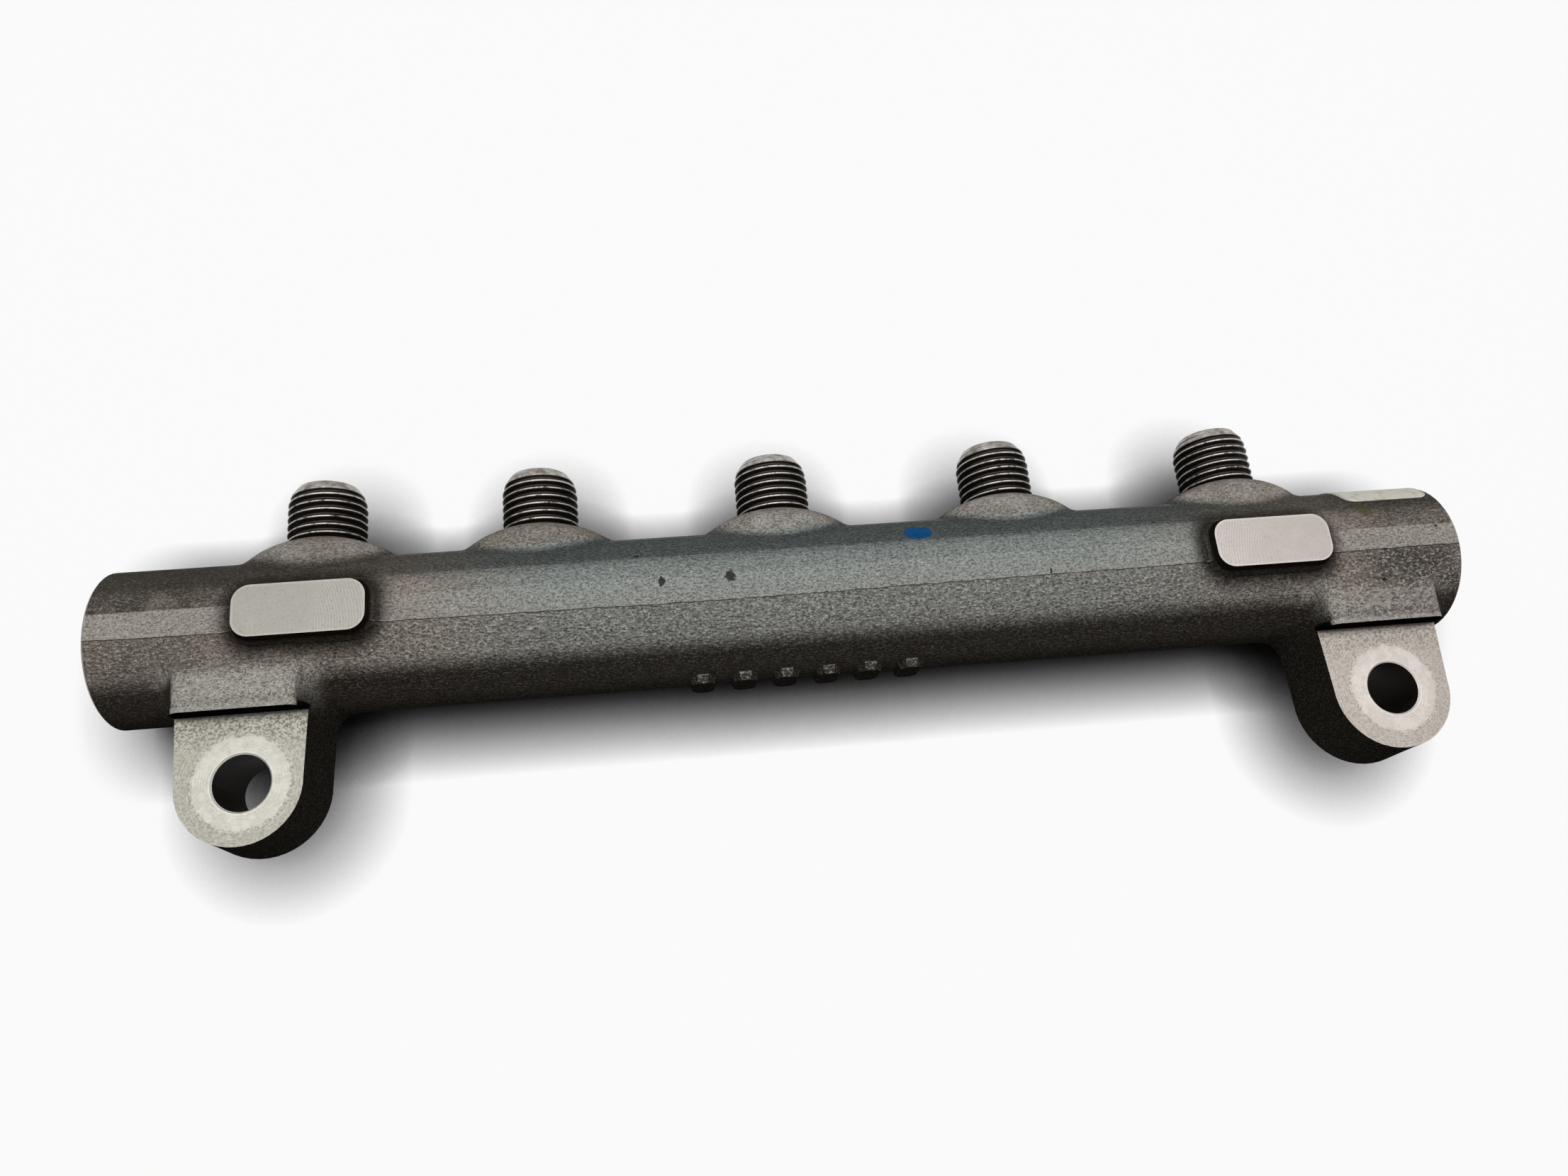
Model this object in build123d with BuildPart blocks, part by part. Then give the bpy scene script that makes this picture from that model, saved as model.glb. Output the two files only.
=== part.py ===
from build123d import *
from math import cos, radians, sin, sqrt, tan
import os

# High-pressure fuel rail: a forged steel tube lying along X, with five threaded injector line
# ports towards +Y and two bolted lugs towards -Y. The bolt heads sit on the +Z side. The origin
# is the centre of the left end face, on the axis of the main bore. All sizes are millimetres.

# Tube and its main bore
rail_length = 244.0
tube_radius = 14.0
bore_radius = 5.0
end_chamfer = 0.4

# Trimmed flash land, the flat band along the front and the back of the forging
land_depth = 0.24
land_margin = 1.6

# Threaded mouths of the bore, for the pressure sensor and the relief valve
left_mouth_radius = 8.25
right_mouth_radius = 9.25
mouth_depth = 15.0
mouth_chamfer = 0.4
mouth_floor_angle = 59.0

# Injector line ports, with a cone at the tip and a conical seat inside. The first and the last keep
# their distance from the tube's ends, and the others divide what lies between them.
first_port = 35.0
last_port_inset = 37.0
port_span = rail_length - first_port - last_port_inset
port_shares = (0, 39 / 172, 83 / 172, 127 / 172, 1)
port_places = [first_port + share * port_span for share in port_shares]
port_radius = 7.0
port_root_radius = 6.8
port_root_reach = 3.1
port_reach = 14.4
port_lead_length = 3.6
port_waist_length = 1.7
port_root_level = tube_radius + port_root_reach
port_level = tube_radius + port_reach
port_lead_level = port_level - port_lead_length
port_waist_radius = 6.5
port_waist_level = port_level - port_waist_length
port_tip_radius = 5.35
seat_radius = 4.2
seat_angle = 30.0
feed_radius = 1.5

# Forged bosses under the ports
boss_reach = 3.9
boss_dome_drop = 6.1
boss_crown_level = tube_radius + boss_reach
boss_crown_bend = boss_crown_level + boss_dome_drop
boss_crown_width = 1.07 * tube_radius
boss_foot_depth = 4.0
boss_foot_level = tube_radius - boss_foot_depth
boss_foot_width = 1.92 * sqrt(tube_radius**2 - boss_foot_level**2)
boss_length = 2.29 * tube_radius
boss_crown_fillet = 0.17 * tube_radius
boss_foot_fillet = 0.21 * tube_radius

# Mounting lugs, tongues with a round end
first_lug = 25.0
last_lug_inset = 17.0
lug_places = (first_lug, rail_length - last_lug_inset)
lug_shift = -0.4
lug_front_depth = 0.5
lug_front = tube_radius - lug_front_depth
lug_back = -5.5
lug_reach = 12.6
lug_end_level = -tube_radius - lug_reach
lug_end_radii = (11.5, 12.1)
lug_side_draft = 2.5
lug_front_draft = 4.5
lug_rim_fillet = 2.5
lug_back_chamfer = 1.8
lug_foot_fillet = 4.5

# Milled seats for the bolt heads, and the bolt holes
bolt_seat_depth = 5.0
bolt_seat_front = tube_radius - bolt_seat_depth
bolt_seat_gap = 1.0
bolt_seat_shoulder = -tube_radius - bolt_seat_gap
bolt_hole_radius = 4.75
bolt_hole_chamfer = 0.3

# Milled clamping pads on the front
first_pad = 35.6
last_pad_inset = 37.2
pad_places = (first_pad, rail_length - last_pad_inset)
pad_reach = 2.3
pad_front = tube_radius + pad_reach
pad_length = 21.7
pad_height = 9.0
pad_centre_level = 0.8
pad_corner_radius = 3.0
pad_draft = 20.0

# Raised forging marks under the tube, left plain
mark_count = 6
mark_pitch = 7.6
mark_shift = -0.8
mark_middle = rail_length / 2 + mark_shift
mark_length = 3.9
mark_width = 8.0
mark_height = 0.75
mark_corner = 1.1
mark_draft = 20.0

# Adhesive label, wrapped over the port side of the tube
label_inset = 18.0
label_left = rail_length - label_inset
label_length = 15.5
label_wrap_angle = 100.0
label_thickness = 0.2


def across_port(level):
    """Plane square to the ports, at a level above the axis of the tube."""
    return Plane(origin=(0, level, 0), x_dir=(1, 0, 0), z_dir=(0, 1, 0))


def make_lug(back_radius):
    """Lug whose straight sides run into a round end; all flanks draft towards the front."""
    front_radius = back_radius - (lug_front - lug_back) * tan(radians(lug_front_draft))
    with BuildPart() as lug:
        for level, radius in ((lug_back, back_radius), (lug_front, front_radius)):
            with BuildSketch(Plane.XY.offset(level)):
                with BuildLine():
                    draft = radians(lug_side_draft)
                    end_x = radius * cos(draft)
                    end_y = lug_end_level + radius * sin(draft)
                    root_x = end_x - end_y * tan(draft)
                    tip_y = lug_end_level - radius
                    Polyline((-end_x, end_y), (-root_x, 0), (root_x, 0), (end_x, end_y))
                    ThreePointArc((end_x, end_y), (0, tip_y), (-end_x, end_y))
                make_face()
        loft(ruled=True)
        flats = lug.faces().filter_by(Axis.Z)
        rims = flats.edges().filter_by(lambda edge: edge.center().Y < -tube_radius / 2)
        fillet(rims.filter_by_position(Axis.Z, 0, lug_front), lug_rim_fillet)
        back_rims = lug.faces().sort_by(Axis.Z)[0].edges()
        chamfer(back_rims.filter_by(lambda edge: edge.center().Y < -tube_radius / 2), lug_back_chamfer)
    return lug.part


# Boss: an oval with drafted flanks and a domed crown
with BuildPart() as boss:
    with BuildSketch(across_port(boss_foot_level)):
        Ellipse(boss_length / 2, boss_foot_width / 2)
    with BuildSketch(across_port(boss_crown_level)):
        Ellipse(boss_length / 2, boss_crown_width / 2)
    loft(ruled=True)
    with Locations((0, boss_crown_level - boss_crown_bend, 0)):
        Sphere(boss_crown_bend, mode=Mode.INTERSECT)
    crown = boss.faces().sort_by(Axis.Y)[-1]
    fillet(crown.edges(), boss_crown_fillet)

# Pad: a low block with drafted flanks
with BuildPart() as pad:
    with BuildSketch(Plane.XY.offset(pad_front)):
        with Locations((0, pad_centre_level)):
            RectangleRounded(pad_length, pad_height, pad_corner_radius)
    extrude(amount=-(pad_front - tube_radius / 2), taper=-pad_draft)

# Port: a cylinder with a run-out at its root and a coned tip
with BuildPart() as port:
    with BuildSketch(Plane.XY):
        with BuildLine():
            Polyline(
                (0, bore_radius + feed_radius),
                (port_root_radius, bore_radius + feed_radius),
                (port_root_radius, port_root_level),
                (port_radius, port_root_level),
                (port_radius, port_lead_level),
                (port_waist_radius, port_waist_level),
                (port_tip_radius, port_level),
                (0, port_level),
                close=True,
            )
        make_face()
    revolve(axis=Axis.Y)

# Drilling of a port: a conical seat, then a feed hole into the main bore
with BuildPart() as drilling:
    with BuildSketch(Plane.XY):
        with BuildLine():
            seat_depth = (seat_radius - feed_radius) / tan(radians(seat_angle))
            Polyline(
                (0, 0),
                (feed_radius, 0),
                (feed_radius, port_level - seat_depth),
                (seat_radius, port_level),
                (0, port_level),
                close=True,
            )
        make_face()
    revolve(axis=Axis.Y)

# Bore: one drilling from end to end, opened out at both mouths
with BuildPart() as bore:
    with BuildSketch(Plane.XY):
        with BuildLine():
            floor_slope = tan(radians(mouth_floor_angle))
            left_floor = mouth_depth + (left_mouth_radius - bore_radius) / floor_slope
            right_floor = mouth_depth + (right_mouth_radius - bore_radius) / floor_slope
            Polyline(
                (0, 0),
                (0, left_mouth_radius + mouth_chamfer),
                (mouth_chamfer, left_mouth_radius),
                (mouth_depth, left_mouth_radius),
                (left_floor, bore_radius),
                (rail_length - right_floor, bore_radius),
                (rail_length - mouth_depth, right_mouth_radius),
                (rail_length - mouth_chamfer, right_mouth_radius),
                (rail_length, right_mouth_radius + mouth_chamfer),
                (rail_length, 0),
                close=True,
            )
        make_face()
    revolve(axis=Axis.X)

# Rail body: the forging first, then the milled and drilled faces
with BuildPart() as rail_body:
    with BuildSketch(Plane.YZ):
        Circle(tube_radius)
    extrude(amount=rail_length)
    chamfer(rail_body.edges().filter_by(GeomType.CIRCLE), end_chamfer)

    for place, end_radius in zip(lug_places, lug_end_radii):
        with Locations((place + lug_shift, 0, 0)):
            add(make_lug(end_radius))
        fillet(rail_body.edges(Select.NEW), lug_foot_fillet)
    for place in port_places:
        with Locations((place, 0, 0)):
            add(boss.part)
        fillet(rail_body.edges(Select.NEW), boss_foot_fillet)
    for place in pad_places:
        with Locations((place, 0, 0)):
            add(pad.part)

    # Forging marks in a row on the underside
    with BuildSketch(across_port(-tube_radius - mark_height)) as raised_marks:
        with Locations((mark_middle, 0)):
            with GridLocations(mark_pitch, 0, mark_count, 1):
                Rectangle(mark_length, mark_width)
        chamfer(raised_marks.vertices(), mark_corner)
    extrude(amount=tube_radius / 4, taper=-mark_draft)

    # Flash land, interrupted at the pads on the front and unbroken on the back
    land_level = tube_radius - land_depth
    land_height = 2.2 * sqrt(tube_radius**2 - land_level**2)
    with BuildSketch(Plane.XY.offset(land_level)):
        with Locations((rail_length / 2, 0)):
            Rectangle(rail_length, land_height)
        for place in pad_places:
            with Locations((place, 0)):
                Rectangle(pad_length + 2 * land_margin, land_height, mode=Mode.SUBTRACT)
    extrude(amount=land_depth, mode=Mode.SUBTRACT)
    with BuildSketch(Plane.XY.offset(-land_level)):
        with Locations((rail_length / 2, 0)):
            Rectangle(rail_length, land_height)
    extrude(amount=-land_depth, mode=Mode.SUBTRACT)

    for place in port_places:
        with Locations((place, 0, 0)):
            add(port.part)

    # Bolt seats milled into the lugs, and the holes through them
    seat_drop = lug_end_level - max(lug_end_radii) - bolt_seat_shoulder
    seat_width = 2 * (max(lug_end_radii) + lug_foot_fillet + lug_rim_fillet)
    for place in lug_places:
        with BuildSketch(Plane.XY.offset(bolt_seat_front)):
            with Locations((place, bolt_seat_shoulder + seat_drop / 2)):
                Rectangle(seat_width, -seat_drop)
        extrude(amount=lug_front, mode=Mode.SUBTRACT)
        with Locations(Plane(origin=(place, lug_end_level, bolt_seat_front))):
            Hole(bolt_hole_radius)
        rims = rail_body.edges(Select.NEW).filter_by(GeomType.CIRCLE)
        chamfer(rims.sort_by(Axis.Z)[-1], bolt_hole_chamfer)

    add(bore.part, mode=Mode.SUBTRACT)
    for place in port_places:
        with Locations((place, 0, 0)):
            add(drilling.part, mode=Mode.SUBTRACT)

# Label: a strip bent round the tube
with BuildPart() as label:
    with BuildSketch(Plane.YZ.offset(label_left)):
        with BuildLine():
            start_angle = -label_wrap_angle / 2
            inner = CenterArc((0, 0), tube_radius, start_angle, label_wrap_angle)
            outer = CenterArc((0, 0), tube_radius + label_thickness, start_angle, label_wrap_angle)
            Line(inner @ 0, outer @ 0)
            Line(inner @ 1, outer @ 1)
        make_face()
    extrude(amount=label_length)

rail_body.part.label = "rail_body"
label.part.label = "label"

os.makedirs("parts", exist_ok=True)
export_step(rail_body.part, "parts/rail_body.step")
export_step(label.part, "parts/label.step")
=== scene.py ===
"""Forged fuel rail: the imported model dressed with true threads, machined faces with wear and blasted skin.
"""
import math
from types import SimpleNamespace

import bmesh
import bpy
import numpy as np
from mathutils import Matrix, Vector


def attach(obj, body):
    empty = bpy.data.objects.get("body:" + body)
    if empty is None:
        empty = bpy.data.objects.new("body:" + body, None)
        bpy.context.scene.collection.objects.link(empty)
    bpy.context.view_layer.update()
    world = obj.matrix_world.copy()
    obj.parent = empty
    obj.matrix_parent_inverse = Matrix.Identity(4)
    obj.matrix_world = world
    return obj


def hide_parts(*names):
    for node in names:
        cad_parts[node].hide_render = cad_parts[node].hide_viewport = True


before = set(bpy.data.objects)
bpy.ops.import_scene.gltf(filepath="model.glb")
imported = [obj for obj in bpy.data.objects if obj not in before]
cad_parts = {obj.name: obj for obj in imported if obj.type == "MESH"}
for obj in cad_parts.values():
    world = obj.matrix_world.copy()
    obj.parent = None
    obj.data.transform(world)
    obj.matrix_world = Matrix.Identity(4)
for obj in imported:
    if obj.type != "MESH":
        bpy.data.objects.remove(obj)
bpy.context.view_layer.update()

MM = 0.001

# Sizes and places that the solids have, in millimetres
RAIL_LENGTH = 244.0
TUBE_RADIUS = 14.0
FLOOR_LEVEL = -13.76
END_CHAMFER = 0.4
PORTS = (35.0, 74.0, 118.0, 162.0, 207.0)
PORT_RADIUS = 7.0
PORT_ROOT_RADIUS = 6.8
PORT_CONE = ((24.8, 26.7, 28.4), (7.0, 6.5, 5.35))
PORT_LEVEL = 28.4
SEAT_FLOOR = 23.72
FEED_RADIUS = 1.5
LUG_MIDDLE = 126.0
LUG_REACH = 101.0
HOLE_LEVEL = -26.6
HOLE_RADIUS = 4.75
HOLE_CHAMFER = 0.3
SEAT_FRONT = 9.0
SHOULDER = -15.0
PAD_MIDDLE = 121.2
PAD_REACH = 85.6
PAD_LEVEL = 0.8
PAD_FRONT = 16.3
PAD_LENGTH = 21.7
PAD_HEIGHT = 9.0
PAD_CORNER = 3.0
MOUTH_DEPTH = 15.0
MOUTH_CHAMFER = 0.4
MOUTHS = ((0.0, 1.0, 8.25), (RAIL_LENGTH, -1.0, 9.25))

# Distance from the tube's axis within which all faces belong to the mouths and the main bore, and
# levels under and over the rim where a port stands on its boss
BORES_WITHIN = 10.0
UNDER_RIM = 16.0
OVER_RIM = 17.0

# Threads
PITCH = 1.5
PORT_THREAD_DEPTH = 0.92
MOUTH_THREAD_DEPTH = 0.75
CREST_LEVEL = 25.3
FLANK_START = 0.083
FLANK_SPAN = 0.354
AROUND = 96

# Profile over a port's tip and down its seat and feed drilling: radius and height
PORT_TIP = ((5.3, PORT_LEVEL), (4.9, PORT_LEVEL), (4.36, PORT_LEVEL), (4.26, 28.37), (4.18, 28.28),
            (3.6, 27.3), (1.62, 23.9), (FEED_RADIUS, SEAT_FLOOR), (FEED_RADIUS, 23.3), (FEED_RADIUS, 20.0))

# Label
LABEL_LEFT = 226.0
LABEL_LENGTH = 16.9
LABEL_HALF_ANGLE = 50.0
LABEL_CORNER = 2.2
LABEL_THICKNESS = 0.2

# Height of the parting line: share of the rail's length, and millimetres
LINE_CURVE = ((0.0, -1.75), (0.04, -1.95), (0.2, -1.95), (0.27, -2.1), (0.47, -2.35), (0.58, -2.1),
              (0.74, -1.85), (0.9, -1.6), (1.0, -1.4))
LINE_SPAN = 10.0

# Spots on the front: middle, half width and half height in millimetres
PITS = ((96.1, 1.7, 0.6, 0.9), (108.1, 1.9, 0.95, 1.1), (91.9, 7.2, 0.45, 0.3), (165.6, -1.3, 0.16, 0.75),
        (40.6, -6.6, 0.4, 0.16), (240.2, 2.2, 0.4, 0.22), (227.6, -7.4, 0.45, 0.35))
STAIN = (228.2, 6.8, 1.7, 1.5)
PAINT = (143.0, 8.6, 2.85, 1.75)
# Spots of painted highlight on the fillets beside the lugs
HIGHLIGHT_SPOTS = ((35.4, -10.6, 2.4, 4.2), (216.8, -10.4, 2.4, 4.0))

# Floor: half its width, its gap under the rail, and how far the painted contact shadow reaches
FLOOR_HALF = 2000.0
FLOOR_GAP = 0.02
SHADOW_REACH = 15.0
SURROUND_TONE = 0.92

# Camera of the photograph, from the fit of the rail's known edges: focal length in the photo's pixels,
# place in metres, and the directions of the picture's right, down and forward
PHOTO_WIDTH = 2212.0
FOCAL_PIXELS = 1571.9
SENSOR_WIDTH = 36.0
CAMERA_PLACE = (0.09887, -0.05877, 0.19966)
CAMERA_RIGHT = (0.993106, -0.094661, 0.069138)
CAMERA_DOWN = (-0.069592, -0.950736, -0.302088)
CAMERA_FORWARD = (0.094328, 0.295194, -0.950769)


def new_piece(name, points, faces, materials):
    """A smooth mesh object at the origin, from points in millimetres and lists of point numbers,
    riding on the one body."""
    mesh = bpy.data.meshes.new(name)
    mesh.from_pydata((np.asarray(points, float) * MM).tolist(), [], faces)
    mesh.shade_smooth()
    for material in materials:
        mesh.materials.append(material)
    piece = bpy.data.objects.new(name, mesh)
    bpy.context.scene.collection.objects.link(piece)
    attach(piece, "root")
    return piece


def add_values(piece, name, values):
    """One number for each point, kept as an attribute of that name."""
    layer = piece.data.attributes.new(name, "FLOAT", "POINT")
    layer.data.foreach_set("value", np.asarray(values, np.float32))


def merge_close(piece):
    """Merges points of a piece that coincide, and takes out the faces that this empties."""
    shape = bmesh.new()
    shape.from_mesh(piece.data)
    bmesh.ops.remove_doubles(shape, verts=shape.verts, dist=0.001 * MM)
    shape.to_mesh(piece.data)
    shape.free()


def ring_faces(rows, columns, first=0):
    """Quads of a grid whose last column joins its first one."""
    row, column = np.meshgrid(np.arange(rows - 1), np.arange(columns), indexing="ij")
    after = (column + 1) % columns
    quads = np.stack([row * columns + column, row * columns + after,
                      (row + 1) * columns + after, (row + 1) * columns + column], -1)
    return quads.reshape(-1, 4) + first


def helix_faces(rows, columns, per_turn, first=0):
    """Quads of a grid whose rows climb round a helix, with so many rows to a turn. The last column
    joins the first column one turn further on."""
    row, column = np.meshgrid(np.arange(rows - 1), np.arange(columns - 1), indexing="ij")
    low = row * columns + column
    inside = np.stack([low, low + 1, low + columns + 1, low + columns], -1).reshape(-1, 4)
    row = np.arange(rows - 1 - per_turn)
    last, start = row * columns + columns - 1, (row + per_turn) * columns
    across = np.stack([last, start, start + columns, last + columns], -1)
    return np.concatenate([inside, across]) + first


def helix_climb(turn, angle):
    """Height on a helix for each turn and angle: the pitch times the turn and the angle's share of one."""
    return PITCH * (turn[:, None] + angle[None, :] / (2 * math.pi))


def thread_wave(turn):
    """Height of a 60 degree thread over its root, from 0 to 1, at a turn counted from the root.
    It is a triangle wave with its top and bottom cut flat."""
    part = turn % 1.0
    return np.clip((0.5 - np.abs(part - 0.5) - FLANK_START) / FLANK_SPAN, 0.0, 1.0)


def smooth_step(value, low, high):
    """0 below low, 1 above high and a smooth cubic between them."""
    part = np.clip((value - low) / (high - low), 0.0, 1.0)
    return part * part * (3.0 - 2.0 * part)


def add_node(tree, kind, inputs=(), **settings):
    """A node with its settings. Its sockets are linked to other sockets or set to values."""
    made = tree.nodes.new(kind)
    for name, value in settings.items():
        setattr(made, name, value)
    for socket, value in dict(inputs).items():
        if isinstance(value, bpy.types.NodeSocket):
            tree.links.new(value, made.inputs[socket])
        elif value is not None:
            made.inputs[socket].default_value = value
    return made


class Finish:
    """A node material whose sockets are worked out step by step, with places in millimetres."""

    def __init__(self, name):
        self.material = bpy.data.materials.new(name)
        self.material.use_nodes = True
        self.tree = self.material.node_tree
        self.shader = self.tree.nodes["Principled BSDF"]
        place = self.node("ShaderNodeTexCoord").outputs["Object"]
        self.place = self.node("ShaderNodeVectorMath", {0: place, "Scale": 1.0 / MM},
                               operation="SCALE").outputs["Vector"]
        self.x, self.y, self.z = self.split(self.place)

    def node(self, kind, inputs=(), **settings):
        return add_node(self.tree, kind, inputs, **settings)

    def split(self, vector):
        return self.node("ShaderNodeSeparateXYZ", {0: vector}).outputs

    def math(self, operation, a, b=None, c=None):
        return self.node("ShaderNodeMath", {0: a, 1: b, 2: c}, operation=operation).outputs[0]

    def add(self, *values):
        total = values[0]
        for value in values[1:]:
            total = self.math("ADD", total, value)
        return total

    def times(self, *values):
        total = values[0]
        for value in values[1:]:
            total = self.math("MULTIPLY", total, value)
        return total

    def minus(self, a, b):
        return self.math("SUBTRACT", a, b)

    def linear(self, value, slope, start):
        """Start plus slope times the value."""
        return self.math("MULTIPLY_ADD", value, slope, start)

    def spare(self, mask, amount=1.0):
        """1 off the mask, and less on it by the amount."""
        return self.linear(mask, -amount, 1.0)

    def size(self, value):
        """The value without its sign."""
        return self.math("ABSOLUTE", value)

    def away(self, value, centre):
        """Distance of a value from a centre."""
        return self.size(self.minus(value, centre))

    def reach(self, a, b):
        """Length of the vector (a, b)."""
        return self.math("SQRT", self.math("MULTIPLY_ADD", a, a, self.math("MULTIPLY", b, b)))

    def oval(self, x, y, half_width, half_height):
        """Distance from (x, y), where 1 lies on the oval of that half width and half height."""
        along = self.math("DIVIDE", self.minus(self.x, x), half_width)
        across = self.math("DIVIDE", self.minus(self.y, y), half_height)
        return self.reach(along, across)

    def step(self, value, low, high):
        """0 at low and 1 at high, smooth between; low may be the larger one."""
        made = self.node("ShaderNodeMapRange", {0: value}, interpolation_type="SMOOTHSTEP")
        swap = low > high
        made.inputs[1].default_value, made.inputs[2].default_value = min(low, high), max(low, high)
        made.inputs[3].default_value, made.inputs[4].default_value = float(swap), float(not swap)
        return made.outputs[0]

    def noise(self, scale, detail=2.0, rough=0.5, stretch=None, distort=0.0):
        place = self.place
        if stretch:
            place = self.node("ShaderNodeVectorMath", {0: place, 1: stretch},
                              operation="MULTIPLY").outputs["Vector"]
        made = self.node("ShaderNodeTexNoise", {"Vector": place, "Scale": scale, "Detail": detail,
                                                "Roughness": rough, "Distortion": distort})
        return made.outputs[0]

    def wobble(self, noise, amount):
        """A noise moved to lie about 0, times the amount."""
        return self.times(self.add(noise, -0.5), amount)

    def mix(self, factor, a, b, blend="MIX"):
        """Colour a turned into colour b by the factor."""
        made = self.node("ShaderNodeMix", {"Factor": factor}, data_type="RGBA", blend_type=blend)
        for socket, value in ((made.inputs[6], a), (made.inputs[7], b)):
            if isinstance(value, bpy.types.NodeSocket):
                self.tree.links.new(value, socket)
            else:
                socket.default_value = (*value, 1.0)
        return made.outputs[2]

    def tint_and_light(self, colour, left, right):
        """Colour times one of two tints, for the left and the right half of the rail; besides a hue, they
        paint light where one half is made lighter than the other.
        """
        return self.mix(1.0, colour, self.mix(self.step(self.x, 90.0, 160.0), left, right), "MULTIPLY")

    def bump(self, height, distance, normal=None):
        """Relief of a height from 0 to 1 over a distance in millimetres."""
        return self.node("ShaderNodeBump", {"Height": height, "Distance": distance * MM, "Strength": 1.0,
                                            "Normal": normal}).outputs[0]

    def set(self, **values):
        """Links or sets the shader's own sockets."""
        for name, value in values.items():
            socket = self.shader.inputs[name.replace("_", " ")]
            if isinstance(value, bpy.types.NodeSocket):
                self.tree.links.new(value, socket)
            else:
                socket.default_value = value
        return self.material


def pad_distance(finish):
    """Distance outside the rounded outline of the nearest pad, in millimetres, seen from the front."""
    along = finish.away(finish.away(finish.x, PAD_MIDDLE), PAD_REACH)
    across = finish.away(finish.y, PAD_LEVEL)
    out_x = finish.math("MAXIMUM", finish.minus(along, PAD_LENGTH / 2 - PAD_CORNER), 0.0)
    out_y = finish.math("MAXIMUM", finish.minus(across, PAD_HEIGHT / 2 - PAD_CORNER), 0.0)
    return finish.minus(finish.reach(out_x, out_y), PAD_CORNER)


def hole_distance(finish):
    """Distance from the axis of the nearest bolt hole."""
    along = finish.away(finish.away(finish.x, LUG_MIDDLE), LUG_REACH)
    return finish.reach(along, finish.minus(finish.y, HOLE_LEVEL))


def line_level(finish):
    """Height of the parting line along the rail: a slow curve, with a jagged edge from noise."""
    curve = finish.node("ShaderNodeFloatCurve", {"Value": finish.math("DIVIDE", finish.x, RAIL_LENGTH)})
    line = curve.mapping.curves[0].points
    while len(line) < len(LINE_CURVE):
        line.new(0.5, 0.5)
    for point, (place, level) in zip(line, LINE_CURVE):
        point.location = (place, 0.5 + level / LINE_SPAN)
    curve.mapping.update()
    slow = finish.linear(curve.outputs[0], LINE_SPAN, -LINE_SPAN / 2)
    wander = finish.wobble(finish.noise(0.35, 2.0, 0.6, stretch=(1.0, 0.2, 0.2)), 0.5)
    jag = finish.wobble(finish.noise(1.6, 3.0, 0.7, stretch=(1.0, 0.3, 0.3)), 0.3)
    return finish.add(slow, finish.add(wander, jag))


def skin_zones(skin):
    """Where a point of the forging lies and which way it faces, as masks from 0 to 1, with the skin's
    shared noises. `around` is the distance from the tube's axis, and `over_line` the height over the
    parting line."""
    facing = skin.split(skin.node("ShaderNodeNewGeometry").outputs["Normal"])
    zone = SimpleNamespace(front=facing[2], level=skin.size(facing[2]))
    zone.over_line = skin.minus(skin.y, line_level(skin))
    zone.around = skin.reach(skin.y, skin.z)
    zone.land = skin.times(skin.step(skin.size(skin.z), 13.45, 13.7), skin.step(zone.over_line, -0.05, 0.1),
                           skin.step(skin.y, 2.8, 2.55), skin.step(zone.around, 14.9, 14.3))
    zone.lower = skin.step(zone.over_line, 0.12, -0.12)
    zone.middle = skin.times(skin.step(skin.x, 44.0, 82.0), skin.step(skin.x, 226.0, 170.0))
    zone.ends = skin.math("MAXIMUM", skin.step(skin.x, 30.0, 12.0), skin.step(skin.x, 216.0, 232.0))
    zone.low_side = skin.times(skin.step(zone.level, 0.92, 0.64), skin.step(skin.y, 0.0, -6.0))
    zone.high_side = skin.times(skin.step(zone.level, 0.98, 0.8), skin.step(skin.y, 1.0, 7.0),
                                skin.step(facing[1], 0.97, 0.8))
    zone.boss = skin.times(skin.step(zone.around, 14.1, 15.6), skin.step(skin.y, 9.0, 12.0))
    zone.ramp = skin.times(skin.step(skin.z, 10.5, 12.0), skin.step(skin.y, -7.0, -10.0),
                           skin.step(zone.front, 0.7, 0.9))
    zone.patches = skin.noise(0.055, 4.0, 0.6, distort=0.6)
    zone.clouds = skin.noise(0.16, 3.0, 0.6)
    zone.mottle = skin.noise(0.8, 4.0, 0.7)
    zone.peel = skin.noise(2.7, 2.0, 0.55, stretch=(0.62, 1.0, 1.0), distort=0.3)
    return zone


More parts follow.
